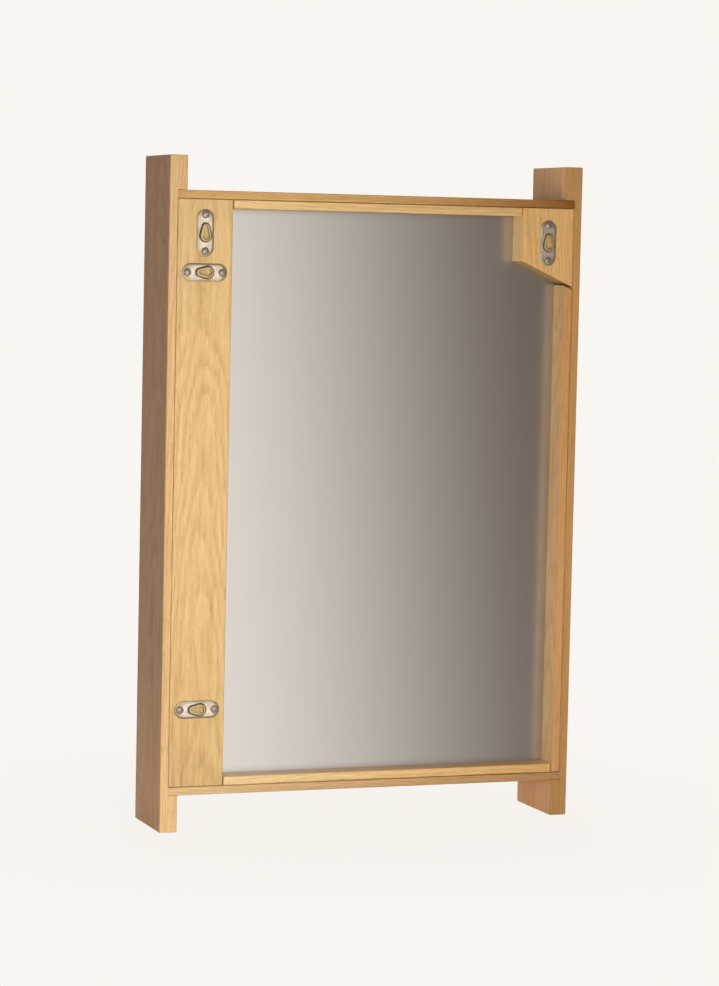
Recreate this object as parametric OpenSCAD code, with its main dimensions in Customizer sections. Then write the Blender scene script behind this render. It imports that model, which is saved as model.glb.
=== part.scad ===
// Deep oak wall mirror: a box frame of two stiles and two rails, a glass pane
// set into rabbets from behind, and a rear framework that carries four keyhole
// hanger plates, so that it hangs upright or on its side.
//
// +Z is up, the mirror faces -Y and the wall is at +Y. The origin is on the
// plane of the feet, under the middle of the outline. Left and right are those
// of a person who looks into the mirror, so +X is right. Millimetres.

/* [Frame] */
// Overall width across both stiles
frame_w = 460; // [400:5:560]
// Overall height, which is the length of a stile
frame_h = 700; // [620:5:860]
// Depth of a stile from its front edge to its back edge
frame_d = 90; // [75:1:120]
// Thickness of a stile
stile_t = 19; // [18:0.5:24]
// Eased arris on the exposed edges of the wood
arris = 0.6; // [0.3:0.1:1]

/* [Rails] */
// Thickness of a rail at the back and in its housings
rail_t = 8.5; // [7:0.5:10]
// Ledge that a rail forms in front of the pane
rail_ledge = 4; // [3:0.5:6]
// Length of stile below the bottom rail
horn_bottom = 38.5; // [20:0.5:60]
// Length of stile above the top rail
horn_top = 35.5; // [20:0.5:60]
// Depth of the housings and of the rabbet into a stile's inner face
housing = 10.5; // [8:0.5:12]
// Glue gap above and below a rail's tongue in its housing
housing_play = 0.25; // [0.05:0.05:0.3]

/* [Rear framework] */
// Thickness of the boards and battens behind the pane
rear_t = 26; // [22:1:32]
// Width of the hanger board and of the corner block
board_w = 60; // [52:1:75]
// Height of the top and bottom battens
batten_h = 10; // [8:0.5:14]
// Height of the corner block along its inner side
block_h = 57.5; // [50:0.5:90]
// Fall of the corner block's lower edge towards the stile, in degrees
block_fall = 24; // [10:1:35]
// Glue gap along each edge of a board, batten or block
joint_gap = 0.4; // [0.1:0.05:0.5]
// Open gap between the side batten and the corner block above it
batten_gap = 2; // [0:0.5:5]

/* [Mirror pane] */
// Thickness of the silvered glass
glass_t = 4; // [3:0.5:6]
// Thickness of the metal sheet bonded to the back of the glass
backing_t = 1.5; // [1:0.5:3]
// Gap around the pane inside the rabbets
pane_gap = 1.5; // [1:0.5:2.5]
// Thickness of the tape between the glass and the stiles
tape_t = 1; // [0.5:0.5:2]
// Width of that tape
tape_w = 8; // [4:0.5:8]
// Length of a setting pad under the pane
pad_l = 30; // [20:1:60]

/* [Hanger plates] */
// Length of a hanger plate
plate_l = 48.5; // [48:0.5:60]
// Width of a hanger plate
plate_w = 18.5; // [18:0.5:22]
// Thickness of its sheet steel
plate_t = 1.2; // [1:0.1:1.5]
// Height by which the pressed boss stands above the flat ends
boss_rise = 2.8; // [2.4:0.1:4]
// Distance between the two screws of a plate
screw_pitch = 37.5; // [37:0.5:40]
// Radius of the round end of the keyhole, which passes a wall screw's head
keyhole_r = 4.1; // [3.9:0.05:4.3]
// Radius of the narrow end of the keyhole, which holds the wall screw's neck
slot_r = 2.1; // [1.8:0.1:2.3]
// Depth of the left upright plate's centre below the top of the stiles
left_drop = 81.5; // [75:0.5:84]
// Depth of the right upright plate's centre below the top of the stiles
right_drop = 79; // [75:0.5:82]
// Depth of the upper sideways plate's centre below the top of the stiles
side_top_drop = 119.5; // [119:0.5:160]
// Height of the lower sideways plate's centre above the feet
side_bottom_rise = 128; // [100:1:200]

/* [Plate screws] */
// Thread diameter of a plate screw
screw_d = 4; // [3.5:0.1:4]
// Length of a plate screw under its head
screw_l = 16; // [12:1:20]
// Diameter of its pan head
head_d = 8.2; // [7.5:0.1:8.4]
// Height of its pan head
head_h = 2.4; // [2:0.1:2.6]

/* [Hidden] */
$fn = 64;

OAK = "#dcb67c";
OAK_EDGE = "#cfa36c";
MIRROR = "#c9d4d6";
ALUMINIUM = "#b3aca5";
RUBBER = "#2b2b2b";
ZINC = "#b9b4a8";
SCREW = "#6f675c";

// the bosses are the rearmost surfaces, so they count in the overall depth
overall_d = frame_d + plate_t + boss_rise;
y_front = -overall_d / 2;
y_back = y_front + frame_d;
y_ledge = y_back - rear_t - backing_t - glass_t - tape_t;
y_pane_back = y_back - rear_t;

x_out = frame_w / 2;
x_in = x_out - stile_t;
x_house = x_in + housing;
x_board = x_house - board_w;

// inner faces of the rails' housed boards
z_floor = horn_bottom + rail_t;
z_ceiling = frame_h - horn_top - rail_t;

// the pane hangs between the floor's setting pads and the ceiling
pane_w = 2 * (x_house - pane_gap);
pane_z0 = z_floor + pane_gap;
pane_h = z_ceiling - pane_gap - pane_z0;

block_z = z_ceiling - block_h;
block_z_in = block_z - (board_w - housing) * tan(block_fall);
block_z_out = block_z - board_w * tan(block_fall);

// hanger plates as [x, z, turn], where a turn of 90 points the narrow end up
// and 0 points it to the right
hanger_x = x_house - board_w / 2;
UPRIGHT_LEFT = [-hanger_x, frame_h - left_drop, 90];
UPRIGHT_RIGHT = [hanger_x, frame_h - right_drop, 90];
SIDE_TOP = [hanger_x, frame_h - side_top_drop, 0];
SIDE_BOTTOM = [hanger_x, side_bottom_rise, 0];
BOARD_HANGERS = [UPRIGHT_RIGHT, SIDE_TOP, SIDE_BOTTOM];
BLOCK_HANGERS = [UPRIGHT_LEFT];

// the keyhole's two ends, along the plate
keyhole_x = -2.9;
slot_x = 5.2;
// section of the pressed boss round the keyhole, and its fall in radius from the
// round end to the narrow one
boss_foot = plate_w / 2 - 1.35;
boss_top = boss_foot - 1.6;
boss_wall = 1.1;
boss_round = 1.4;
boss_fall = 2;
boss_tip_x = slot_x + 0.4;
// half the slot's width where it leaves the round end
slot_mouth = 3.3;

pilot_play = 0.05;
plate_hole_r = screw_d / 2 + 0.25;
screw_tip = 3;
recess_l = 4.2;
recess_w = 0.9;
recess_d = 1.3;
head_round = 1.6;
// overshoot that keeps a cutter's end out of the face that it cuts
over = 1;

function arc(centre, r, from, to, steps = 6) = [
    for (i = [0:steps])
        let (a = from + (to - from) * i / steps)
        centre + r * [cos(a), sin(a)]
];

// ---------- wood ----------

// rectangle with its four corners cut off
module eased_rect(size, c) {
    polygon([
        [c, 0], [size.x - c, 0], [size.x, c], [size.x, size.y - c],
        [size.x - c, size.y], [c, size.y], [0, size.y - c], [0, c]
    ]);
}

// board with all twelve edges eased
module eased_board(size, c) {
    intersection() {
        linear_extrude(size.z) eased_rect([size.x, size.y], c);
        translate([0, size.y, 0]) rotate([90, 0, 0])
            linear_extrude(size.y) eased_rect([size.x, size.z], c);
        rotate([90, 0, 90]) linear_extrude(size.x) eased_rect([size.y, size.z], c);
    }
}

// stile on the +X side: the housings run through its depth, and the rabbet
// between them is open to the back
module stile() {
    difference() {
        translate([x_in, y_front, 0]) eased_board([stile_t, frame_d, frame_h], arris);
        for (z = [horn_bottom, z_ceiling])
            translate([x_in - over, y_front - over, z - housing_play])
                cube([housing + over, frame_d + 2 * over, rail_t + 2 * housing_play]);
        translate([x_in - over, y_ledge, z_floor])
            cube([housing + over, y_back - y_ledge + over, z_ceiling - z_floor]);
    }
}

module stile_right() {
    color(OAK) stile();
}

module stile_left() {
    color(OAK) mirror([1, 0, 0]) stile();
}

// rail with its tongue from z = 0 to rail_t and its ledge above it
module rail() {
    rotate([90, 0, 90]) translate([0, 0, -x_house]) linear_extrude(2 * x_house) polygon([
        [y_front + arris, 0], [y_back - arris, 0], [y_back, arris],
        [y_back, rail_t - arris], [y_back - arris, rail_t],
        [y_front, rail_t], [y_front, arris]
    ]);
    rotate([90, 0, 90]) translate([0, 0, -x_in]) linear_extrude(2 * x_in) polygon([
        [y_front, rail_t - over], [y_ledge, rail_t - over], [y_ledge, rail_t + rail_ledge],
        [y_front + arris, rail_t + rail_ledge], [y_front, rail_t + rail_ledge - arris]
    ]);
}

module bottom_rail() {
    color(OAK) translate([0, 0, horn_bottom]) rail();
}

module top_rail() {
    color(OAK) translate([0, 0, z_ceiling + rail_t]) mirror([0, 0, 1]) rail();
}

function unit(v) = v / norm(v);

// outline, convex and counter-clockwise, drawn in by a gap along every edge
function drawn_in(outline, gap) = [
    for (i = [0:len(outline) - 1])
        let (
            before = unit(outline[i] - outline[i == 0 ? len(outline) - 1 : i - 1]),
            after = unit(outline[i == len(outline) - 1 ? 0 : i + 1] - outline[i]),
            inward = [-before.y - after.y, before.x + after.x]
        )
        outline[i] + gap * inward / (1 + before * after)
];

// piece of the rear framework: an XZ outline, counter-clockwise as listed, less
// the glue gap, with the edges of its back face eased
module rear_piece(opening) {
    outline = drawn_in(opening, joint_gap);
    bar = arris * sqrt(2);
    last = len(outline) - 1;
    translate([0, y_back, 0]) rotate([90, 0, 0]) difference() {
        linear_extrude(rear_t) polygon(outline);
        for (i = [0:last]) {
            p = outline[i];
            run = outline[i == last ? 0 : i + 1] - p;
            translate([p.x, p.y, 0]) rotate([0, 0, atan2(run.y, run.x)]) rotate([45, 0, 0])
                translate([-arris, -bar / 2, -bar / 2]) cube([norm(run) + 2 * arris, bar, bar]);
        }
    }
}

module hanger_board() {
    color(OAK) difference() {
        rear_piece([
            [x_board, z_floor], [x_house, z_floor],
            [x_house, z_ceiling], [x_board, z_ceiling]
        ]);
        pilot_holes(BOARD_HANGERS);
    }
}

module corner_block() {
    color(OAK_EDGE) difference() {
        rear_piece([
            [-x_house, block_z_out], [-x_board, block_z],
            [-x_board, z_ceiling], [-x_house, z_ceiling]
        ]);
        pilot_holes(BLOCK_HANGERS);
    }
}

module side_batten() {
    color(OAK_EDGE) rear_piece([
        [-x_house, z_floor], [-x_in, z_floor],
        [-x_in, block_z_in - batten_gap], [-x_house, block_z_out - batten_gap]
    ]);
}

module top_batten() {
    color(OAK_EDGE) rear_piece([
        [-x_board, z_ceiling - batten_h], [x_board, z_ceiling - batten_h],
        [x_board, z_ceiling], [-x_board, z_ceiling]
    ]);
}

module bottom_batten() {
    color(OAK_EDGE) rear_piece([
        [-x_in, z_floor], [x_board, z_floor],
        [x_board, z_floor + batten_h], [-x_in, z_floor + batten_h]
    ]);
}

// ---------- pane ----------

module mirror_glass() {
    color(MIRROR) translate([-pane_w / 2, y_pane_back - backing_t - glass_t, pane_z0])
        cube([pane_w, glass_t, pane_h]);
}

module backing_sheet() {
    color(ALUMINIUM) translate([-pane_w / 2, y_pane_back - backing_t, pane_z0])
        cube([pane_w, backing_t, pane_h]);
}

// tape on a stile's ledge, on the +X side
module glazing_tape() {
    translate([x_in + 0.5, y_ledge, pane_z0]) cube([tape_w, tape_t, pane_h]);
}

module glazing_tape_right() {
    color(RUBBER) glazing_tape();
}

module glazing_tape_left() {
    color(RUBBER) mirror([1, 0, 0]) glazing_tape();
}

// pad that the pane stands on, a quarter of its width from its right edge
module setting_pad() {
    translate([pane_w / 4 - pad_l / 2, y_pane_back - backing_t - glass_t, z_floor])
        cube([pad_l, glass_t + backing_t, pane_gap]);
}

module setting_pad_right() {
    color(RUBBER) setting_pad();
}

module setting_pad_left() {
    color(RUBBER) mirror([1, 0, 0]) setting_pad();
}

// ---------- hanger plates and their screws ----------

// puts a child drawn flat, with its narrow end at +X and its outer face at +Z,
// at a hanger's place on the back
module at_hanger(hanger) {
    translate([hanger.x, y_back, hanger.y]) rotate([0, -hanger[2], 0]) rotate([-90, 0, 0])
        children();
}

// puts a child at both screws of a plate
module at_screws() {
    for (side = [-1, 1])
        translate([side * screw_pitch / 2, 0, 0]) children();
}

module stadium(half_l, r) {
    for (side = [-1, 1])
        translate([side * half_l, 0]) circle(r);
    square([2 * half_l, 2 * r], center = true);
}

// solid with a drop-shaped plan: the two children are half its section, right of
// the axis, at its wide end x1 and at its narrow end x2
module drop_turn(x1, x2, fall) {
    lean = asin(fall / (x2 - x1));
    translate([x1, 0, 0]) rotate_extrude() children(0);
    translate([x2, 0, 0]) rotate_extrude() children(1);
    for (side = [0, 1])
        mirror([0, side, 0]) translate([x1, 0, 0]) rotate([0, 0, -lean]) rotate([90, 0, 90])
            linear_extrude((x2 - x1) * cos(lean)) children(0);
}

// half section of the boss, from base up to its rounded shoulder
module boss_section(foot, top, height, r, base) {
    polygon(concat(
        [[0, base], [foot, base], [foot, plate_t / 2]],
        arc([top - r, height - r], r, 30, 90),
        [[0, height]]
    ));
}

// boss, or the hollow under it with its wall taken off
module boss(wall, height, r, base = 0) {
    drop_turn(keyhole_x, boss_tip_x, boss_fall) {
        boss_section(boss_foot - wall, boss_top - wall, height, r, base);
        boss_section(boss_foot - wall - boss_fall, boss_top - wall - boss_fall, height, r, base);
    }
}

module keyhole() {
    translate([keyhole_x, 0]) circle(keyhole_r);
    translate([slot_x, 0]) circle(slot_r);
    polygon([
        [keyhole_x, -slot_mouth], [slot_x, -slot_r], [slot_x, slot_r], [keyhole_x, slot_mouth]
    ]);
}

module hanger_plate(hanger) {
    color(ZINC) at_hanger(hanger) difference() {
        union() {
            linear_extrude(plate_t) stadium((plate_l - plate_w) / 2, plate_w / 2);
            boss(0, plate_t + boss_rise, boss_round);
        }
        boss(boss_wall, boss_rise, boss_round / 2, -over);
        translate([0, 0, -over]) linear_extrude(plate_t + boss_rise + 2 * over) keyhole();
        at_screws() translate([0, 0, -over]) cylinder(r = plate_hole_r, h = plate_t + 2 * over);
    }
}

module hanger_plate_upright_left() {
    hanger_plate(UPRIGHT_LEFT);
}

module hanger_plate_upright_right() {
    hanger_plate(UPRIGHT_RIGHT);
}

module hanger_plate_side_top() {
    hanger_plate(SIDE_TOP);
}

module hanger_plate_side_bottom() {
    hanger_plate(SIDE_BOTTOM);
}

// pan-head wood screw, with the underside of its head at z = 0
module screw() {
    difference() {
        rotate_extrude() polygon(concat(
            [[0, -screw_l], [screw_d / 2, screw_tip - screw_l], [screw_d / 2, 0], [head_d / 2, 0]],
            arc([head_d / 2 - head_round, head_h - head_round], head_round, 0, 90),
            [[0, head_h]]
        ));
        for (turn = [0, 90])
            rotate([0, 0, turn]) translate([-recess_l / 2, -recess_w / 2, head_h - recess_d])
                cube([recess_l, recess_w, recess_d + over]);
    }
}

module hanger_screws() {
    color(SCREW)
        for (hanger = concat(BOARD_HANGERS, BLOCK_HANGERS))
            at_hanger(hanger) at_screws() translate([0, 0, plate_t]) screw();
}

module pilot_holes(hangers) {
    depth = screw_l - plate_t + pilot_play;
    for (hanger = hangers)
        at_hanger(hanger) at_screws() translate([0, 0, -depth])
            cylinder(r = screw_d / 2 + pilot_play, h = depth + over);
}

stile_left();
stile_right();
top_rail();
bottom_rail();
mirror_glass();
backing_sheet();
glazing_tape_left();
glazing_tape_right();
setting_pad_left();
setting_pad_right();
hanger_board();
corner_block();
side_batten();
top_batten();
bottom_batten();
hanger_plate_upright_left();
hanger_plate_upright_right();
hanger_plate_side_top();
hanger_plate_side_bottom();
hanger_screws();
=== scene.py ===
import math

import bpy
from mathutils import Matrix, Vector


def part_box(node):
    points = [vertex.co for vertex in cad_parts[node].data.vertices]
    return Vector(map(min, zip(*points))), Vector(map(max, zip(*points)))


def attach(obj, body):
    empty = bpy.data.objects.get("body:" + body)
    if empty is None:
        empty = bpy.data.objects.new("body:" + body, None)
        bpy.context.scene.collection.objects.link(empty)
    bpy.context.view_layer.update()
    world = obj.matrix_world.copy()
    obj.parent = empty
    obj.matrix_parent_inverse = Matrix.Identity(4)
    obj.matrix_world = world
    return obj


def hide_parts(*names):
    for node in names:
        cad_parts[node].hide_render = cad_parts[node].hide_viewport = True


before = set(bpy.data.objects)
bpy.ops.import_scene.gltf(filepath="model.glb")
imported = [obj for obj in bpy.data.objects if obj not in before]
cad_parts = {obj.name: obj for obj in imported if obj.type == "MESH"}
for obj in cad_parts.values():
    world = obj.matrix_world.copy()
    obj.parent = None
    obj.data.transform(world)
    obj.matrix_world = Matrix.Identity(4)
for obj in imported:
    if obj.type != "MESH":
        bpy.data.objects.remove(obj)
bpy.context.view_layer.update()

# ==== Viewpoint =======================================================================
# The mirror stands with its back to the camera, about three metres away and a little to
# one side. A long lens keeps its deep stiles nearly parallel.

EYE = Vector((1.1457, 3.1027, 0.6070))
AIM = Vector((0.0009, 0.0, 0.3487))
EYE_ROLL = math.radians(1.25)
LENS_MM, SENSOR_MM = 113.6, 36.0

camera_data = bpy.data.cameras.new("camera")
camera_data.sensor_width = SENSOR_MM
camera_data.lens = LENS_MM
camera = bpy.data.objects.new("camera", camera_data)
bpy.context.scene.collection.objects.link(camera)
look = (AIM - EYE).to_track_quat("-Z", "Y").to_matrix()
camera.rotation_euler = (look @ Matrix.Rotation(EYE_ROLL, 3, "Z")).to_euler()
camera.location = EYE
bpy.context.scene.camera = camera

# ==== Stiles ==========================================================================
# Two solid oak boards as deep as the mirror, and longer than the rails are apart. They
# are planed, eased along every edge and rubbed with clear oil, so the figure shows.


def feed(tree, value, socket):
    """Links an output to a socket, or sets the socket to a plain value."""
    if isinstance(value, bpy.types.NodeSocket):
        tree.links.new(value, socket)
    else:
        socket.default_value = value


def add_node(tree, kind, inputs=None, **settings):
    """New node of that kind, with its settings made and its inputs fed."""
    node = tree.nodes.new(kind)
    for name, value in settings.items():
        setattr(node, name, value)
    for name, value in (inputs or {}).items():
        feed(tree, value, node.inputs[name])
    return node


def maths(tree, operation, *values):
    """Output of a Math node that works on those values."""
    inputs = dict(enumerate(values))
    return add_node(tree, "ShaderNodeMath", inputs, operation=operation).outputs[0]


def step_between(tree, value, low, high):
    """0 up to low and 1 from high on, with a smooth rise between."""
    inputs = {"Value": value, "From Min": low, "From Max": high}
    node = add_node(tree, "ShaderNodeMapRange", inputs, interpolation_type="SMOOTHSTEP")
    return node.outputs["Result"]


def ramp_between(tree, value, low, high, start=0.0):
    """From start at low to 1 at high, in a straight line."""
    inputs = {"Value": value, "From Min": low, "From Max": high, "To Min": start}
    return add_node(tree, "ShaderNodeMapRange", inputs).outputs["Result"]


def vector_maths(tree, operation, first, second):
    """Vector that a Vector Math node makes of two others."""
    inputs = {0: first, 1: second}
    return add_node(tree, "ShaderNodeVectorMath", inputs, operation=operation).outputs[0]


def stretched(tree, vector, factors):
    """The vector multiplied by three factors, which squeezes a pattern along each axis."""
    return vector_maths(tree, "MULTIPLY", vector, factors)


def length_of(tree, vector):
    """Length of a vector."""
    node = add_node(tree, "ShaderNodeVectorMath", {0: vector}, operation="LENGTH")
    return node.outputs["Value"]


def parts_of(tree, vector):
    """The X, Y and Z of a vector."""
    return add_node(tree, "ShaderNodeSeparateXYZ", {0: vector}).outputs


def noise(tree, vector, seed, detail=2.0):
    """Noise node of unit scale that the seed shifts."""
    inputs = {"Vector": vector, "W": seed, "Scale": 1.0, "Detail": detail}
    return add_node(tree, "ShaderNodeTexNoise", inputs, noise_dimensions="4D")


def mixed(tree, amount, first, second, blend_type="MIX"):
    """Colour that goes from the first to the second as amount goes from 0 to 1."""
    node = add_node(tree, "ShaderNodeMix", data_type="RGBA", blend_type=blend_type)
    feed(tree, amount, node.inputs[0])
    feed(tree, first, node.inputs[6])
    feed(tree, second, node.inputs[7])
    return node.outputs[2]


def bumped(tree, height, strength, distance, under=None):
    """Normal that follows a height, on top of another normal if there is one."""
    inputs = {"Height": height, "Strength": strength, "Distance": distance}
    node = add_node(tree, "ShaderNodeBump", inputs)
    if under is not None:
        feed(tree, under, node.inputs["Normal"])
    return node.outputs[0]


def oak_figure():
    """Group that turns places in a log, with its pith along Z, into oiled oak."""
    pale = (1.14, 1.20, 1.32, 1.0)
    deep = (0.58, 0.43, 0.28, 1.0)
    pith_drift = (0.045, 0.045, 0.0)
    season_swell = 0.007
    tree = bpy.data.node_groups.new("oak_figure", "ShaderNodeTree")
    for name in ("Place", "Facing"):
        tree.interface.new_socket(name, in_out="INPUT", socket_type="NodeSocketVector")
    for name in ("Seed", "Ring width", "Taper", "Contrast"):
        tree.interface.new_socket(name, in_out="INPUT", socket_type="NodeSocketFloat")
    tree.interface.new_socket("Wood", in_out="INPUT", socket_type="NodeSocketColor")
    tree.interface.new_socket("Color", in_out="OUTPUT", socket_type="NodeSocketColor")
    for name in ("Roughness", "Height"):
        tree.interface.new_socket(name, in_out="OUTPUT", socket_type="NodeSocketFloat")
    given = tree.nodes.new("NodeGroupInput").outputs
    place, seed = given["Place"], given["Seed"]

    # growth rings: the distance from a pith that wanders, over the ring width
    drift = noise(tree, stretched(tree, place, (9.0, 9.0, 2.6)), seed).outputs["Color"]
    drift = vector_maths(tree, "SUBTRACT", drift, (0.5, 0.5, 0.5))
    wandering = vector_maths(tree, "ADD", place, stretched(tree, drift, pith_drift))
    radius = length_of(tree, stretched(tree, wandering, (1.0, 1.0, 0.0)))
    radius = maths(tree, "MULTIPLY_ADD", parts_of(tree, place)["Z"], given["Taper"], radius)
    seasons = noise(tree, stretched(tree, place, (45.0, 45.0, 4.5)), seed, detail=3.0).outputs[0]
    radius = maths(tree, "MULTIPLY_ADD", seasons, season_swell, radius)
    ring = maths(tree, "FRACT", maths(tree, "DIVIDE", radius, given["Ring width"]))
    onset = step_between(tree, ring, 0.0, 0.12)
    fading = maths(tree, "SUBTRACT", 1.0, step_between(tree, ring, 0.20, 0.80))
    early = maths(tree, "MULTIPLY", onset, fading)

    # long fibres, and the open pores that crowd the early wood
    band = noise(tree, stretched(tree, place, (60.0, 60.0, 1.6)), seed).outputs[0]
    coarse = noise(tree, stretched(tree, place, (240.0, 240.0, 6.0)), seed).outputs[0]
    fleck = noise(tree, stretched(tree, place, (430.0, 430.0, 40.0)), seed, detail=1.0).outputs[0]
    hairs = stretched(tree, place, (1400.0, 1400.0, 80.0))
    fine = noise(tree, hairs, seed, detail=1.0).outputs[0]
    vessels = stretched(tree, place, (2100.0, 2100.0, 120.0))
    vessel = noise(tree, vessels, seed, detail=1.0).outputs[0]
    vessel = maths(tree, "MULTIPLY_ADD", early, 0.08, vessel)
    pore = step_between(tree, vessel, 0.60, 0.72)
    depth = maths(tree, "MULTIPLY_ADD", early, 0.13, -0.72)
    for pattern, share in ((band, 0.38), (coarse, 0.48), (fleck, 0.50), (fine, 0.38)):
        depth = maths(tree, "MULTIPLY_ADD", pattern, share, depth)
    depth = maths(tree, "MULTIPLY_ADD", pore, 0.26, depth)

    # end grain and eased edges drink more oil and turn deeper
    facing = [maths(tree, "ABSOLUTE", part) for part in parts_of(tree, given["Facing"])]
    broad = maths(tree, "MAXIMUM", maths(tree, "MAXIMUM", facing[0], facing[1]), facing[2])
    edge = maths(tree, "SUBTRACT", 1.0, step_between(tree, broad, 0.75, 0.95))
    depth = maths(tree, "MULTIPLY_ADD", edge, 0.25, depth)
    depth = maths(tree, "MULTIPLY_ADD", step_between(tree, facing[2], 0.75, 0.98), 0.45, depth)
    depth = maths(tree, "MULTIPLY", depth, given["Contrast"])
    light_wood = mixed(tree, 1.0, given["Wood"], pale, "MULTIPLY")
    deep_wood = mixed(tree, 1.0, given["Wood"], deep, "MULTIPLY")
    colour = mixed(tree, depth, light_wood, deep_wood)

    # early wood lies low, and pores are pits that also take the gloss away
    height = maths(tree, "MULTIPLY_ADD", early, -0.35, maths(tree, "MULTIPLY", fine, 0.5))
    height = maths(tree, "MULTIPLY_ADD", pore, -1.0, height)
    rough = maths(tree, "MULTIPLY_ADD", pore, 0.22, 0.46)
    rough = maths(tree, "MULTIPLY_ADD", coarse, 0.12, rough)
    leave = tree.nodes.new("NodeGroupOutput")
    feed(tree, colour, leave.inputs["Color"])
    feed(tree, rough, leave.inputs["Roughness"])
    feed(tree, height, leave.inputs["Height"])
    return tree


OAK_FIGURE = oak_figure()


def new_material(name):
    """Empty node material with its tree, its Principled shader and object places."""
    material = bpy.data.materials.new(name)
    material.use_nodes = True
    tree = material.node_tree
    shader = tree.nodes["Principled BSDF"]
    places = tree.nodes.new("ShaderNodeTexCoord")
    return material, tree, shader, places


def oak(name, grain, pith, seed, wood, end_wood_and_light=None, span=(0.21, -0.22), fade=1.0, face_light_and_shade=(),
        taper=0.022, contrast=1.0, polish=0.0):
    """Oiled oak whose fibres run along Z or X, cut from a log with its pith at (across, y).

    The colour can go over to a second colour along the span of the grain's axis: painted
    light and shade along the piece, on the rails partly the wood's own tone. Each face tint
    is a direction and a colour that multiplies the wood on faces that look that way: painted
    light and shade on those faces.
    Contrast is that of the figure, polish a smooth coat.
    """
    ring_width = 0.0030
    material, tree, shader, places = new_material(name)
    wood = (*wood, 1.0)
    # painted light and shade along the piece, on the rails partly the wood's own tone
    if end_wood_and_light:
        along = parts_of(tree, places.outputs["Object"])[grain]
        share = maths(tree, "POWER", ramp_between(tree, along, *span), fade)
        wood = mixed(tree, share, wood, (*end_wood_and_light, 1.0))
    # painted light and shade on the faces that look one way
    for direction, face_tint in face_light_and_shade:
        inputs = {0: places.outputs["Normal"], 1: direction}
        towards = add_node(tree, "ShaderNodeVectorMath", inputs, operation="DOT_PRODUCT")
        share = step_between(tree, towards.outputs["Value"], 0.7, 0.95)
        wood = mixed(tree, share, wood, (*face_tint, 1.0), "MULTIPLY")
    turn = (0.0, -math.pi / 2, 0.0) if grain == "X" else (0.0, 0.0, 0.0)
    shift = (pith[0], -pith[1], 0.0) if grain == "X" else (-pith[0], -pith[1], 0.0)
    log = add_node(tree, "ShaderNodeMapping",
                   {"Vector": places.outputs["Object"], "Location": shift, "Rotation": turn})
    facing = add_node(tree, "ShaderNodeMapping",
                      {"Vector": places.outputs["Normal"], "Rotation": turn})
    figure = add_node(tree, "ShaderNodeGroup", node_tree=OAK_FIGURE)
    values = {"Place": log.outputs[0], "Facing": facing.outputs[0], "Seed": seed,
              "Ring width": ring_width, "Taper": taper, "Contrast": contrast, "Wood": wood}
    for socket, value in values.items():
        feed(tree, value, figure.inputs[socket])
    bump = bumped(tree, figure.outputs["Height"], strength=0.35, distance=0.0004)
    feed(tree, figure.outputs["Color"], shader.inputs["Base Color"])
    feed(tree, figure.outputs["Roughness"], shader.inputs["Roughness"])
    feed(tree, bump, shader.inputs["Normal"])
    shader.inputs["Coat Weight"].default_value = polish
    shader.inputs["Coat Roughness"].default_value = 0.25
    return material


def dress(node, material):
    """Gives every face of a CAD piece that material."""
    for material_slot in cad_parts[node].material_slots:
        material_slot.material = material


# stile_right: brighter towards its foot, painted light; its outer +X face darker, painted shade
dress("stile_right", oak(
    "oak_stile_right", "Z", pith=(0.135, 0.004), seed=1.0, taper=0.045,
    wood=(0.89, 0.575, 0.232), end_wood_and_light=(0.71, 0.432, 0.175), span=(0.0, 0.17),
    face_light_and_shade=[((1, 0, 0), (0.807, 0.655, 0.606))]))
# its inner +X face lighter and cooler, painted light
# stile_left: wood far darker than stile_right's, partly its own tone and partly painted shade;
dress("stile_left", oak(
    "oak_stile_left", "Z", pith=(-0.330, 0.010), seed=2.0, contrast=0.8,
    wood=(0.525, 0.265, 0.076), face_light_and_shade=[((1, 0, 0), (1.52, 1.57, 2.13))]))

# ==== Rails ===========================================================================
# Two thin oak boards whose tongues are glued into the stiles' housings. The ledge along
# their front half stops the glass, and the lower one makes a shelf under the mirror.

# top_rail: darker towards its -X end, partly the wood's own tone and partly painted shade
dress("top_rail", oak(
    "oak_top_rail", "X", pith=(0.60, 0.03), seed=3.0,
    wood=(0.645, 0.368, 0.113), end_wood_and_light=(0.25, 0.080, 0.001), fade=2.5))
# bottom_rail: darker towards its -X end, partly the wood's own tone and partly painted shade
dress("bottom_rail", oak(
    "oak_bottom_rail", "X", pith=(0.12, 0.02), seed=4.0,
    wood=(0.77, 0.50, 0.225), end_wood_and_light=(0.49, 0.248, 0.086)))

# ==== Mirror glass and backing sheet ==================================================
# Float glass silvered on its back, and the thin satin aluminium sheet that is bonded
# behind the silver to keep it from scratches. Both lie in the stiles' rabbets.


def silvered_glass():
    """Mirror with faint wiping marks in its gloss."""
    material, tree, shader, places = new_material("silvered_glass")
    gloss, smear = 0.012, 0.035
    where = places.outputs["Object"]
    wipe = noise(tree, stretched(tree, where, (9.0, 9.0, 5.0)), seed=0.7, detail=4.0).outputs[0]
    tint = mixed(tree, wipe, (0.86, 0.90, 0.89, 1.0), (0.90, 0.925, 0.92, 1.0))
    haze = maths(tree, "MULTIPLY", step_between(tree, wipe, 0.45, 0.75), smear)
    feed(tree, tint, shader.inputs["Base Color"])
    feed(tree, maths(tree, "ADD", haze, gloss), shader.inputs["Roughness"])
    shader.inputs["Metallic"].default_value = 1.0
    return material


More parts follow.
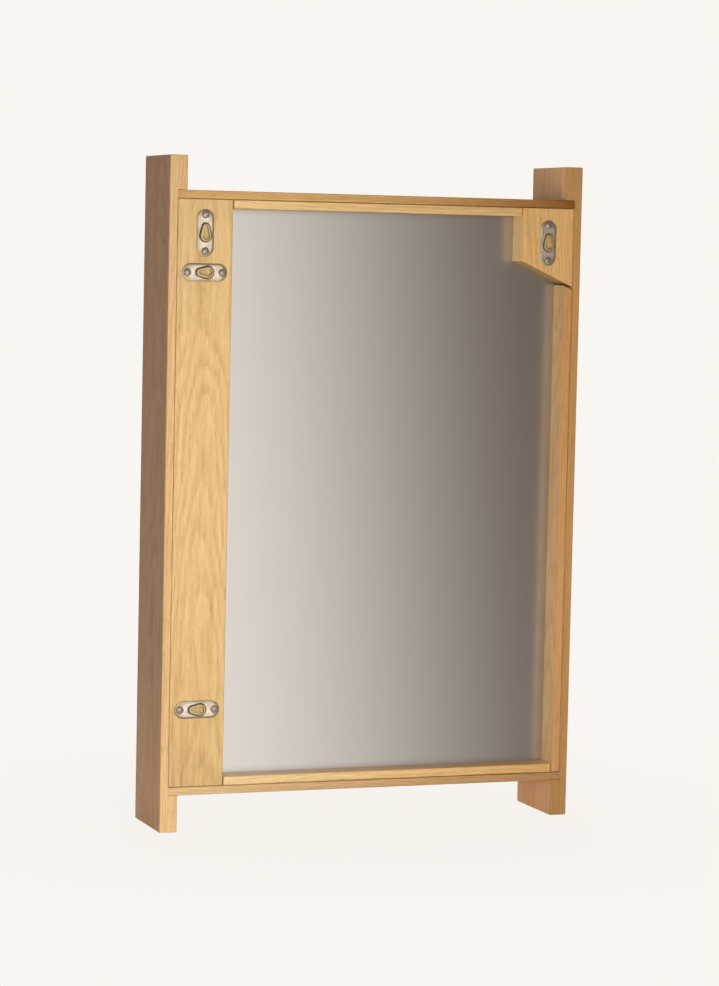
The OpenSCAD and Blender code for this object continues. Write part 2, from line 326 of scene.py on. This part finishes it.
def satin_aluminium():
    """Rolled sheet with a soft sheen, a faint grain along the roll and a slight bow."""
    bow_start, bow_rate = 0.65, 0.07
    material, tree, shader, places = new_material("satin_aluminium")
    where = places.outputs["Object"]
    roll = noise(tree, stretched(tree, where, (900.0, 900.0, 9.0)), seed=5.0).outputs[0]
    tint = mixed(tree, roll, (0.428, 0.393, 0.354, 1.0), (0.455, 0.419, 0.381, 1.0))
    below = maths(tree, "SUBTRACT", bow_start, parts_of(tree, where)["Z"])
    bow = maths(tree, "MULTIPLY", maths(tree, "MULTIPLY", below, below), bow_rate)
    rolled = bumped(tree, roll, strength=0.05, distance=0.0001)
    bump = bumped(tree, bow, strength=1.0, distance=1.0, under=rolled)
    feed(tree, tint, shader.inputs["Base Color"])
    feed(tree, bump, shader.inputs["Normal"])
    shader.inputs["Roughness"].default_value = 0.28
    shader.inputs["Metallic"].default_value = 1.0
    return material


dress("mirror_glass", silvered_glass())
dress("backing_sheet", satin_aluminium())

# ==== Glazing tapes and setting pads ==================================================
# Black rubber: a soft tape on each stile's ledge beds the glass and keeps it quiet, and
# two pads on the bottom rail carry the weight of the pane.


def black_rubber():
    """Matt moulded rubber with a fine pebble."""
    material, tree, shader, places = new_material("black_rubber")
    where = places.outputs["Object"]
    pebble = noise(tree, stretched(tree, where, (1800.0,) * 3), seed=3.0).outputs[0]
    tint = mixed(tree, pebble, (0.016, 0.016, 0.017, 1.0), (0.034, 0.033, 0.032, 1.0))
    feed(tree, tint, shader.inputs["Base Color"])
    feed(tree, maths(tree, "MULTIPLY_ADD", pebble, 0.2, 0.6), shader.inputs["Roughness"])
    bump = bumped(tree, pebble, strength=0.3, distance=0.0002)
    feed(tree, bump, shader.inputs["Normal"])
    return material


RUBBER = black_rubber()
for rubber_node in ("glazing_tape_left", "glazing_tape_right",
                    "setting_pad_left", "setting_pad_right"):
    dress(rubber_node, RUBBER)

# ==== Rear framework ==================================================================
# Oak pieces glued into the rabbets behind the pane: a wide board that carries three of
# the hanger plates, a corner block for the fourth, and narrow battens between them.

BLOCK_UNDERSIDE = (0.41, 0, -0.91)

dress("hanger_board", oak(
    "oak_hanger_board", "Z", pith=(0.185, -0.012), seed=5.0, taper=0.035,
    wood=(0.71, 0.448, 0.172)))
# corner_block: its +X face lighter and cooler, painted light; its slanted underside darker,
# painted shade
dress("corner_block", oak(
    "oak_corner_block", "Z", pith=(-0.120, -0.020), seed=6.0, wood=(0.76, 0.43, 0.142),
    face_light_and_shade=[((1, 0, 0), (1.36, 1.63, 2.02)), (BLOCK_UNDERSIDE, (0.70, 0.80, 0.70))]))
# side_batten: brighter towards its foot, painted light; its +X face and top end lighter, painted
# light
dress("side_batten", oak(
    "oak_side_batten", "Z", pith=(-0.090, 0.010), seed=7.0,
    wood=(0.67, 0.342, 0.111), end_wood_and_light=(0.60, 0.29, 0.088), span=(0.05, 0.55),
    face_light_and_shade=[((1, 0, 0), (1.28, 1.62, 2.20)), ((0, 0, 1), (2.00, 2.30, 2.00))]))
# top_batten: darker towards -X, painted shade; its underside much darker, painted shade
dress("top_batten", oak(
    "oak_top_batten", "X", pith=(0.720, -0.010), seed=8.0,
    wood=(0.80, 0.515, 0.208), end_wood_and_light=(0.68, 0.41, 0.150),
    face_light_and_shade=[((0, 0, -1), (0.50, 0.36, 0.27))]))
# bottom_batten: darker towards -X, painted shade; its top face a little darker, painted shade
dress("bottom_batten", oak(
    "oak_bottom_batten", "X", pith=(0.130, -0.040), seed=9.0, polish=1.0,
    wood=(0.88, 0.61, 0.260), end_wood_and_light=(0.77, 0.422, 0.120), fade=0.8,
    face_light_and_shade=[((0, 0, 1), (0.94, 0.87, 0.80))]))

# ==== Hanger plates ===================================================================
# Four plates pressed from zinc plated sheet steel. Each has a raised boss with a keyhole
# in it, so that the head of a wall screw passes in and slides behind the boss.

PLATE_HALF_L = 0.0150
PLATE_R = 0.00925
SHEET = 0.0012
SHEET_EDGE = 0.0003
RIM_WIDTH = 0.0026
RIM_FALL = 0.00055
FLAT_STEPS = 12
BOSS_X, BOSS_TIP_X = -0.0029, 0.0056
BOSS_FOOT_R = 0.0079
BOSS_TOP_R = 0.0063
BOSS_FALL = 0.0020
BOSS_TOP = 0.0040
BOSS_WALL = 0.0011
BOSS_SHOULDER = 0.0014
FOOT_FILLET = 0.0008
KEYHOLE_EDGE = 0.00022
SCREW_REACH = 0.01875
SCREW_HOLE_R = 0.00225
DRILL_SIDES, DRILL_LENGTH = 40, 0.02
PLATE_CREASE = math.radians(38)
KEYHOLE_X, KEYHOLE_R = -0.0029, 0.0041
SLOT_X, SLOT_R, SLOT_MOUTH = 0.0052, 0.0021, 0.0033
KEYHOLE_HEART = -0.0010
TOLERANCE = 0.00001
# how far each plate is turned, in degrees
HANGERS = {"upright_left": 90, "upright_right": 90, "side_top": 0, "side_bottom": 0}


def round_ended(narrow, wide, cap_steps=36, side_steps=10):
    """Points round an outline with a round end (x, r) on either side, counter-clockwise."""
    lean = math.asin((wide[1] - narrow[1]) / (narrow[0] - wide[0]))
    caps = []
    for side, (x, r), half in ((1, narrow, math.pi / 2 - lean), (-1, wide, math.pi / 2 + lean)):
        angles = [half * (2 * i / cap_steps - 1) for i in range(cap_steps + 1)]
        caps.append([(x + side * r * math.cos(a), side * r * math.sin(a)) for a in angles])
    points = []
    for cap, after in (caps, reversed(caps)):
        start, stop = Vector(cap[-1]), Vector(after[0])
        points += cap
        points += [tuple(start.lerp(stop, i / side_steps)) for i in range(1, side_steps)]
    return points


def plate_outline(across):
    """Outline of a plate, made larger by across."""
    return round_ended((PLATE_HALF_L, PLATE_R + across), (-PLATE_HALF_L, PLATE_R + across))


def boss_outline(r):
    """Outline of the boss where its wide end has that radius."""
    return round_ended((BOSS_TIP_X, r - BOSS_FALL), (BOSS_X, r))


def leave_circle(x, y, centre, r):
    """How far from the keyhole's heart a ray towards (x, y) leaves a circle on the long axis."""
    off = centre - KEYHOLE_HEART
    inside = r * r - (off * y) ** 2
    return off * x + math.sqrt(inside) if inside > 0 else 0.0


def leave_neck(x, y, grow):
    """The same for the tapered neck between the keyhole's two round ends."""
    slope = (SLOT_R - SLOT_MOUTH) / (SLOT_X - KEYHOLE_X)
    start = SLOT_MOUTH + grow + slope * (KEYHOLE_HEART - KEYHOLE_X)
    run = abs(y) - slope * x
    reach = start / run if run > 0 else math.inf
    ends = SLOT_X - KEYHOLE_HEART if x > 0 else KEYHOLE_HEART - KEYHOLE_X
    return min(reach, ends / abs(x)) if x else reach


def keyhole_outline(rays, grow):
    """Points where rays from the heart cross the keyhole, made larger by grow."""
    points = []
    for x, y in rays:
        reach = max(leave_circle(x, y, KEYHOLE_X, KEYHOLE_R + grow),
                    leave_circle(x, y, SLOT_X, SLOT_R + grow), leave_neck(x, y, grow))
        points.append((KEYHOLE_HEART + reach * x, reach * y))
    return points


def quarter(r, steps=5):
    """Offsets (across, up) along a quarter round of that radius, from its side to its top."""
    angles = [math.pi / 2 * i / steps for i in range(steps + 1)]
    return [(r * (math.cos(a) - 1), r * (math.sin(a) - 1)) for a in angles]


def plate_rings():
    """Closed sections of a plate as (outline, height), from the keyhole's lower rim round."""
    lean = (BOSS_FOOT_R - BOSS_TOP_R) / (BOSS_TOP - SHEET)
    inner_round = BOSS_SHOULDER / 2
    shoulder = boss_outline(BOSS_TOP_R - BOSS_SHOULDER)
    rays = [Vector((x - KEYHOLE_HEART, y)).normalized() for x, y in shoulder]
    ceiling = BOSS_TOP - SHEET
    rings = [(keyhole_outline(rays, 0.0), ceiling)]
    rings += [(keyhole_outline(rays, -across), BOSS_TOP + up)
              for across, up in quarter(KEYHOLE_EDGE)]
    rings += [(boss_outline(BOSS_TOP_R + across), BOSS_TOP + up)
              for across, up in reversed(quarter(BOSS_SHOULDER, 8))]
    foot = BOSS_TOP_R + lean * (BOSS_TOP - BOSS_SHOULDER - SHEET - FOOT_FILLET)
    rings += [(boss_outline(foot + FOOT_FILLET + across), SHEET - up)
              for across, up in [(-a - FOOT_FILLET, u) for a, u in quarter(FOOT_FILLET, 6)]]
    start, stop = boss_outline(foot + FOOT_FILLET), plate_outline(-SHEET_EDGE)
    for i in range(1, FLAT_STEPS):
        share = i / FLAT_STEPS
        between = [tuple(Vector(a).lerp(Vector(b), share)) for a, b in zip(start, stop)]
        rings += [(between, SHEET)]
    rings += [(plate_outline(across), SHEET + up)
              for across, up in reversed(quarter(SHEET_EDGE, 3))]
    rings += [(plate_outline(across), -up) for across, up in quarter(SHEET_EDGE, 3)]
    rings += [(boss_outline(BOSS_FOOT_R - BOSS_WALL), 0.0)]
    rings += [(boss_outline(BOSS_TOP_R - BOSS_WALL + across), ceiling + up)
              for across, up in quarter(inner_round, 4)]
    return rings


def skin(name, rings):
    """Mesh of a closed ring of outlines, each joined to the next and the last to the first."""
    count = len(rings[0][0])
    points = [(x, y, z) for outline, z in rings for x, y in outline]
    faces = []
    for ring in range(len(rings)):
        here, there = ring * count, (ring + 1) % len(rings) * count
        for i in range(count):
            j = (i + 1) % count
            faces.append((here + i, here + j, there + j, there + i))
    mesh = bpy.data.meshes.new(name)
    mesh.from_pydata(points, [], faces)
    return mesh


def soften_rim(mesh):
    """Lets the flat part of a plate fall off towards its outline, as pressed sheet does."""
    lowest = SHEET * 0.6
    for vertex in mesh.vertices:
        x, y, z = vertex.co
        beyond = max(abs(x) - PLATE_HALF_L, 0.0)
        inside = PLATE_R - math.hypot(beyond, y)
        if lowest < z < SHEET + TOLERANCE and inside < RIM_WIDTH:
            vertex.co.z -= RIM_FALL * (1 - inside / RIM_WIDTH) ** 2


def add_piece(name, mesh):
    """Puts a mesh into the scene as a piece of the object."""
    piece = bpy.data.objects.new(name, mesh)
    bpy.context.scene.collection.objects.link(piece)
    return piece


def settle(piece):
    """Makes what a piece's modifiers show its own plain mesh."""
    bpy.context.view_layer.update()
    depsgraph = bpy.context.evaluated_depsgraph_get()
    mesh = bpy.data.meshes.new_from_object(piece.evaluated_get(depsgraph))
    piece.modifiers.clear()
    piece.data = mesh


def drill(piece, holes, r):
    """Cuts round holes along Z through a flat piece."""
    for x, y in holes:
        bpy.ops.mesh.primitive_cylinder_add(
            vertices=DRILL_SIDES, radius=r, depth=DRILL_LENGTH, location=(x, y, 0.0))
        bit = bpy.context.object
        cut = piece.modifiers.new("hole", "BOOLEAN")
        cut.object = bit
        cut.solver = "EXACT"
        settle(piece)
        bpy.data.objects.remove(bit)


def smooth(mesh, crease):
    """Shades a mesh smoothly, but for edges that turn by more than the crease."""
    mesh.polygons.foreach_set("use_smooth", [True] * len(mesh.polygons))
    mesh.set_sharp_from_angle(angle=crease)


def zinc_plated_steel(hanger, centre):
    """Plated sheet with painted reflection and shade at its rim and ends, painted shade on the
    wall of its boss and a painted reflection of the wood on its crown.
    """
    flat_tints = ((0.66, 0.55, 0.43, 1.0), (0.50, 0.41, 0.32, 1.0))
    rim_shade_tints = ((0.38, 0.295, 0.18, 1.0), (0.285, 0.22, 0.13, 1.0))
    wall_shade_tint = (0.20, 0.150, 0.070, 1.0)
    crown_reflection_tint = (0.44, 0.345, 0.17, 1.0)
    wall_span = (SHEET + TOLERANCE, SHEET + 0.0003)
    crown_span = (BOSS_TOP - 0.0004, BOSS_TOP - 0.00005)
    end_start = 0.0125
    rim_span = (PLATE_R - 0.0006, PLATE_R - 0.0048)
    material, tree, shader, places = new_material("zinc_plated_steel_" + hanger)
    turn = (0.0, -math.radians(HANGERS[hanger]), 0.0)
    place = {"Vector": places.outputs["Object"], "Location": centre, "Rotation": turn}
    where = add_node(tree, "ShaderNodeMapping", place, vector_type="TEXTURE").outputs[0]
    along, height, aside = parts_of(tree, where)
    wall = step_between(tree, height, *wall_span)
    crown = step_between(tree, height, *crown_span)
    beyond = maths(tree, "SUBTRACT", maths(tree, "ABSOLUTE", along), end_start)
    beyond = maths(tree, "MAXIMUM", beyond, 0.0)
    reach = add_node(tree, "ShaderNodeCombineXYZ", {"X": beyond, "Y": aside}).outputs[0]
    bright = step_between(tree, length_of(tree, reach), *rim_span)
    cloud = noise(tree, stretched(tree, where, (160.0,) * 3), seed=1.0, detail=4.0).outputs[0]
    grain = noise(tree, stretched(tree, where, (2600.0,) * 3), seed=2.0).outputs[0]
    dull = step_between(tree, cloud, 0.42, 0.70)
    # boss crown: painted reflection of the wood round it
    # rim and ends darker and browner: painted reflection and shade; boss wall: painted shade;
    tint = mixed(tree, bright, mixed(tree, dull, *rim_shade_tints), mixed(tree, dull, *flat_tints))
    tint = mixed(tree, wall, tint, wall_shade_tint)
    tint = mixed(tree, crown, tint, crown_reflection_tint)
    rough = maths(tree, "MULTIPLY_ADD", dull, 0.14, 0.22)
    bump = bumped(tree, grain, strength=0.10, distance=0.0001)
    feed(tree, tint, shader.inputs["Base Color"])
    feed(tree, rough, shader.inputs["Roughness"])
    feed(tree, bump, shader.inputs["Normal"])
    feed(tree, maths(tree, "MULTIPLY_ADD", wall, -0.15, 0.45), shader.inputs["Metallic"])
    return material


def at_hanger(hanger):
    """Place of a hanger plate: long axis along Z or X, outer face towards +Y."""
    low, high = (Vector(corner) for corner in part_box("hanger_plate_" + hanger))
    centre = Vector(((low.x + high.x) / 2, low.y, (low.z + high.z) / 2))
    upright = Matrix.Rotation(-math.radians(HANGERS[hanger]), 4, "Y")
    return Matrix.Translation(centre) @ upright @ Matrix.Rotation(-math.pi / 2, 4, "X")


for hanger in HANGERS:
    plate = add_piece("pressed_plate_" + hanger, skin("pressed_plate", plate_rings()))
    soften_rim(plate.data)
    drill(plate, [(-SCREW_REACH, 0.0), (SCREW_REACH, 0.0)], SCREW_HOLE_R)
    plate.data.transform(at_hanger(hanger))
    smooth(plate.data, PLATE_CREASE)
    plate.data.materials.clear()
    plate.data.materials.append(zinc_plated_steel(hanger, at_hanger(hanger).translation))
    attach(plate, "root")
    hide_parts("hanger_plate_" + hanger)

# ==== Plate screws ====================================================================
# Eight pan-head wood screws of plated steel with a cross recess, two through the flat
# ends of each plate. Each was driven home by hand, so their crosses stand at random.


def only_z(tree, z):
    """Vector that has a Z alone."""
    return add_node(tree, "ShaderNodeCombineXYZ", {"Z": z}).outputs[0]


def moved(tree, geometry, offset, turn=(0.0, 0.0, 0.0)):
    """Node that turns a geometry about the origin and then moves it."""
    inputs = {"Geometry": geometry, "Translation": offset, "Rotation": turn}
    return add_node(tree, "GeometryNodeTransform", inputs)


def screw_tree(material, sizes):
    """Geometry Nodes that put a threaded pan-head screw, driven along -Y, on every point."""
    tree = bpy.data.node_groups.new("pan_head_wood_screws", "GeometryNodeTree")
    tree.interface.new_socket("Seats", in_out="INPUT", socket_type="NodeSocketGeometry")
    for name, value in sizes.items():
        socket = tree.interface.new_socket(name, in_out="INPUT", socket_type="NodeSocketFloat")
        socket.default_value = value
    tree.interface.new_socket("Screws", in_out="OUTPUT", socket_type="NodeSocketGeometry")
    given = tree.nodes.new("NodeGroupInput").outputs

    # head: rings up the axis whose radius follows a full, flat-topped curve
    head_sides, rings = 36, 14
    head_sweep = math.radians(74)
    fullness = 0.88
    line = add_node(tree, "GeometryNodeCurvePrimitiveLine", {"End": (0.0, 0.0, 1.0)})
    line = add_node(tree, "GeometryNodeResampleCurve", {"Curve": line.outputs[0], "Count": rings})
    ring = add_node(tree, "GeometryNodeInputIndex").outputs[0]
    sweep = maths(tree, "MULTIPLY", ring, head_sweep / (rings - 1))
    rise = maths(tree, "POWER", maths(tree, "SINE", sweep), fullness)
    spread = maths(tree, "POWER", maths(tree, "COSINE", sweep), fullness)
    level = only_z(tree, maths(tree, "MULTIPLY", rise, given["Head height"]))
    line = add_node(tree, "GeometryNodeSetPosition", {
        "Geometry": line.outputs[0], "Position": level})
    circle = add_node(tree, "GeometryNodeCurvePrimitiveCircle", {
        "Resolution": head_sides, "Radius": given["Head radius"]})
    head = add_node(tree, "GeometryNodeCurveToMesh", {
        "Curve": line.outputs[0], "Profile Curve": circle.outputs[0], "Scale": spread,
        "Fill Caps": True})

    # cross recess: two bars sunk into the top of the head
    bar_size = add_node(tree, "ShaderNodeCombineXYZ", {
        "X": given["Recess length"], "Y": given["Recess width"],
        "Z": maths(tree, "MULTIPLY", given["Recess depth"], 2.0)})
    bar = add_node(tree, "GeometryNodeMeshCube", {"Size": bar_size.outputs[0]})
    raised = only_z(tree, given["Head height"])
    cut = add_node(tree, "GeometryNodeMeshBoolean", {"Mesh 1": head.outputs[0]},
                   operation="DIFFERENCE", solver="EXACT")
    for turn in (0.0, math.pi / 2):
        crossed = moved(tree, bar.outputs[0], raised, (0.0, 0.0, turn))
        tree.links.new(crossed.outputs[0], cut.inputs["Mesh 2"])

    # shank: a core, a point and the thread that winds round them
    shank_sides, thread_sides = 16, 4
    thread_turns, steps_a_turn = 9.0, 20
    core_r = maths(tree, "MULTIPLY", given["Thread radius"], 0.72)
    wind_r = maths(tree, "MULTIPLY", given["Thread radius"], 0.70)
    ridge_r = maths(tree, "MULTIPLY", given["Thread radius"], 0.30)
    thread_length = maths(tree, "MULTIPLY", given["Shank length"], 0.85)
    middle = only_z(tree, maths(tree, "MULTIPLY", given["Shank length"], -0.5))
    end = only_z(tree, maths(tree, "MULTIPLY", given["Shank length"], -1.0))
    core = add_node(tree, "GeometryNodeMeshCylinder", {
        "Vertices": shank_sides, "Radius": core_r, "Depth": given["Shank length"]})
    core = moved(tree, core.outputs[0], middle)
    tip = add_node(tree, "GeometryNodeMeshCone", {
        "Vertices": shank_sides, "Radius Top": 0.0, "Radius Bottom": core_r,
        "Depth": given["Tip length"]})
    tip = moved(tree, tip.outputs[0], end, (math.pi, 0.0, 0.0))
    spiral = add_node(tree, "GeometryNodeCurveSpiral", {
        "Resolution": steps_a_turn, "Rotations": thread_turns, "Start Radius": wind_r,
        "End Radius": wind_r, "Height": thread_length})
    spiral = moved(tree, spiral.outputs[0], end)
    tooth = add_node(tree, "GeometryNodeCurvePrimitiveCircle", {
        "Resolution": thread_sides, "Radius": ridge_r})
    thread = add_node(tree, "GeometryNodeCurveToMesh", {
        "Curve": spiral.outputs[0], "Profile Curve": tooth.outputs[0], "Fill Caps": True})
    screw = add_node(tree, "GeometryNodeJoinGeometry")
    for item in (thread, tip, core, cut):
        tree.links.new(item.outputs[0], screw.inputs[0])

    # one screw on every seat, each turned by its own angle
    spin_seed = 11
    spin = add_node(tree, "FunctionNodeRandomValue", {3: math.pi, "Seed": spin_seed},
                    data_type="FLOAT")
    placed = add_node(tree, "GeometryNodeInstanceOnPoints", {
        "Points": given["Seats"], "Instance": screw.outputs[0],
        "Rotation": (-math.pi / 2, 0.0, 0.0)})
    placed = add_node(tree, "GeometryNodeRotateInstances", {
        "Instances": placed.outputs[0], "Rotation": only_z(tree, spin.outputs[1])})
    solid = add_node(tree, "GeometryNodeRealizeInstances", {"Geometry": placed.outputs[0]})
    dressed = add_node(tree, "GeometryNodeSetMaterial", {
        "Geometry": solid.outputs[0], "Material": material})
    leave = tree.nodes.new("NodeGroupOutput")
    tree.links.new(dressed.outputs[0], leave.inputs["Screws"])
    return tree


def plated_screw_steel():
    """Plating darker than the plates', partly its own and partly painted shade, with patches that
    hands and a screwdriver have rubbed.
    """
    material, tree, shader, places = new_material("plated_screw_steel")
    where = places.outputs["Object"]
    rub = noise(tree, stretched(tree, where, (900.0,) * 3), seed=4.0, detail=3.0).outputs[0]
    rubbed = step_between(tree, rub, 0.35, 0.7)
    # darker than the plates: partly the plating, partly painted shade of the domed heads
    tint = mixed(tree, rubbed, (0.30, 0.24, 0.19, 1.0), (0.46, 0.38, 0.31, 1.0))
    rough = maths(tree, "MULTIPLY_ADD", rub, 0.18, 0.22)
    feed(tree, tint, shader.inputs["Base Color"])
    feed(tree, rough, shader.inputs["Roughness"])
    bump = bumped(tree, rub, strength=0.15, distance=0.0002)
    feed(tree, bump, shader.inputs["Normal"])
    shader.inputs["Metallic"].default_value = 0.6
    return material


SCREW_SIZES = {
    "Head radius": 0.0041, "Head height": 0.0024,
    "Recess length": 0.0042, "Recess width": 0.0009, "Recess depth": 0.0013,
    "Thread radius": 0.0020, "Shank length": 0.0130, "Tip length": 0.0030,
}
SCREW_CREASE = math.radians(40)

seats = []
for hanger in HANGERS:
    for along in (-SCREW_REACH, SCREW_REACH):
        seats.append(at_hanger(hanger) @ Vector((along, 0.0, SHEET)))
seat_mesh = bpy.data.meshes.new("screw_seats")
seat_mesh.from_pydata(seats, [], [])
screws = add_piece("plate_screws", seat_mesh)
SCREWS_TREE = screw_tree(plated_screw_steel(), SCREW_SIZES)
screw_maker = screws.modifiers.new("screws", "NODES")
screw_maker.node_group = SCREWS_TREE
for item in SCREWS_TREE.interface.items_tree:
    if item.name in SCREW_SIZES:
        screw_maker[item.identifier] = SCREW_SIZES[item.name]
settle(screws)
smooth(screws.data, SCREW_CREASE)
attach(screws, "root")
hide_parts("hanger_screws")

# ==== Studio ==========================================================================
# A pale floor and surround, and a soft light behind the mirror and in front of it. Only
# reflections see a grey tent with a lit window behind it and a graded wall in front.

SURROUND = (0.947, 0.922, 0.879, 1.0)
AMBIENT = (0.27, 0.265, 0.26, 1.0)
FLOOR = (0.86, 0.84, 0.80, 1.0)
TENT = (0.16, 0.118, 0.088, 1.0)
TENT_FLOOR = (0.62, 0.585, 0.54, 1.0)
WINDOW = (2.06, 2.06, 2.06, 1.0)
WALL_TOP = (0.50, 0.505, 0.51, 1.0)


def seen_ray(tree):
    """1 for a ray that shows the surround: from the camera, a reflection or glass."""
    path = tree.nodes.new("ShaderNodeLightPath").outputs
    seen = maths(tree, "ADD", path["Is Camera Ray"], path["Is Glossy Ray"])
    seen = maths(tree, "ADD", seen, path["Is Transmission Ray"])
    return maths(tree, "MINIMUM", seen, 1.0)


def mix_shaders(tree, amount, first, second):
    """Shader that goes from the first to the second as amount goes from 0 to 1."""
    node = tree.nodes.new("ShaderNodeMixShader")
    feed(tree, amount, node.inputs[0])
    tree.links.new(first, node.inputs[1])
    tree.links.new(second, node.inputs[2])
    return node.outputs[0]


def surround_world():
    """World that lights plainly and shows the pale surround."""
    world = bpy.data.worlds.new("surround")
    world.use_nodes = True
    tree = world.node_tree
    tree.nodes.clear()
    plain = add_node(tree, "ShaderNodeBackground", {"Color": AMBIENT}).outputs[0]
    shown = add_node(tree, "ShaderNodeBackground", {"Color": SURROUND}).outputs[0]
    leave = tree.nodes.new("ShaderNodeOutputWorld")
    tree.links.new(mix_shaders(tree, seen_ray(tree), plain, shown), leave.inputs["Surface"])
    bpy.context.scene.world = world


def blank_material(name):
    """Material without a node, and its tree."""
    material = bpy.data.materials.new(name)
    material.use_nodes = True
    material.node_tree.nodes.clear()
    return material, material.node_tree


def pale_floor():
    """Floor that melts into the surround, apart from the object's soft shadow."""
    half = 6.0
    shadow_share = 0.08
    shadow_reach = 0.75
    material, tree = blank_material("pale_floor")
    matt = add_node(tree, "ShaderNodeBsdfDiffuse", {"Color": FLOOR}).outputs[0]
    glow = add_node(tree, "ShaderNodeEmission", {"Color": SURROUND}).outputs[0]
    away = length_of(tree, tree.nodes.new("ShaderNodeTexCoord").outputs["Object"])
    near = maths(tree, "SUBTRACT", 1.0, step_between(tree, away, 0.0, shadow_reach))
    shown = mix_shaders(tree, maths(tree, "MULTIPLY", near, shadow_share), glow, matt)
    leave = tree.nodes.new("ShaderNodeOutputMaterial")
    tree.links.new(mix_shaders(tree, seen_ray(tree), matt, shown), leave.inputs["Surface"])
    floor_mesh = bpy.data.meshes.new("floor")
    corners = [(-half, -half, 0), (half, -half, 0), (half, half, 0), (-half, half, 0)]
    floor_mesh.from_pydata(corners, [], [(0, 1, 2, 3)])
    floor_mesh.materials.append(material)
    floor = bpy.data.objects.new("floor", floor_mesh)
    bpy.context.scene.collection.objects.link(floor)
    floor.visible_glossy = False


def reflected_only(name, corners, faces, glow):
    """Stage piece that only reflections see, with a glow that a function builds."""
    material, tree = blank_material(name)
    emission = add_node(tree, "ShaderNodeEmission", {"Color": glow(tree)})
    leave = tree.nodes.new("ShaderNodeOutputMaterial")
    tree.links.new(emission.outputs[0], leave.inputs["Surface"])
    mesh = bpy.data.meshes.new(name)
    mesh.from_pydata(corners, [], faces)
    mesh.materials.append(material)
    piece = bpy.data.objects.new(name, mesh)
    bpy.context.scene.collection.objects.link(piece)
    for ray in ("camera", "diffuse", "transmission", "volume_scatter", "shadow"):
        setattr(piece, "visible_" + ray, False)


def object_place(tree):
    """The X, Y and Z of a point on a piece."""
    return parts_of(tree, tree.nodes.new("ShaderNodeTexCoord").outputs["Object"])


def tent_glow(tree):
    """Even grey that gets paler towards the floor of the tent."""
    wall_foot, floor = -0.5, -1.5
    share = step_between(tree, object_place(tree)["Z"], wall_foot, floor)
    return mixed(tree, share, TENT, TENT_FLOOR)


def window_glow(tree):
    """Brightest from X = -0.26 to 0.45, with a quick fall towards -X and a slow one to +X."""
    slant = -0.16
    dark, bright = -0.676, -0.256
    far, near, far_share = 1.6, 0.45, 0.20
    roundness = 0.91
    where = object_place(tree)
    across = maths(tree, "MULTIPLY_ADD", where["Z"], slant, where["X"])
    rise = maths(tree, "POWER", ramp_between(tree, across, dark, bright), roundness)
    fall = ramp_between(tree, across, far, near, far_share)
    return mixed(tree, maths(tree, "MULTIPLY", rise, fall), TENT, WINDOW)


def wall_glow(tree):
    """Pale below, and greyer above."""
    low, high = -0.8, 1.3
    share = step_between(tree, object_place(tree)["Z"], low, high)
    return mixed(tree, share, SURROUND, WALL_TOP)


def upright_corners(y, left, right, bottom, top):
    """Corners of an upright sheet, round from (left, bottom)."""
    return [(left, y, bottom), (right, y, bottom), (right, y, top), (left, y, top)]


def soft_light(name, place, aim, width, height, watts):
    """Rectangular lamp that neither the camera nor a reflection sees."""
    data = bpy.data.lights.new(name, "AREA")
    data.shape = "RECTANGLE"
    data.size = width
    data.size_y = height
    data.energy = watts
    lamp = bpy.data.objects.new(name, data)
    bpy.context.scene.collection.objects.link(lamp)
    lamp.location = place
    lamp.rotation_euler = (Vector(aim) - Vector(place)).to_track_quat("-Z", "Y").to_euler()
    lamp.visible_camera = False
    lamp.visible_glossy = False


bpy.context.scene.view_settings.view_transform = "Standard"
surround_world()
pale_floor()
soft_light("back_light", place=(0.20, 0.80, 0.24), aim=(0.05, 0.03, 0.33),
           width=0.30, height=1.00, watts=6.6)
soft_light("front_light", place=(-0.55, -1.80, 1.20), aim=(0.0, 0.0, 0.35),
           width=1.20, height=1.20, watts=24.0)
window_corners = upright_corners(y=1.2, left=-0.95, right=2.4, bottom=-0.35, top=1.0)
reflected_only("window", window_corners, [(0, 1, 2, 3)], window_glow)
tent_mouth = upright_corners(y=0.12, left=-2.7, right=2.7, bottom=-1.6, top=2.4)
tent_back = upright_corners(y=1.25, left=-2.7, right=2.7, bottom=-1.6, top=2.4)
tent_faces = [(4, 5, 6, 7), (0, 1, 5, 4), (1, 2, 6, 5), (2, 3, 7, 6), (3, 0, 4, 7)]
reflected_only("tent", tent_mouth + tent_back, tent_faces, tent_glow)
wall_corners = upright_corners(y=-2.5, left=-6.0, right=6.0, bottom=-3.0, top=3.0)
reflected_only("front_wall", wall_corners, [(0, 1, 2, 3)], wall_glow)
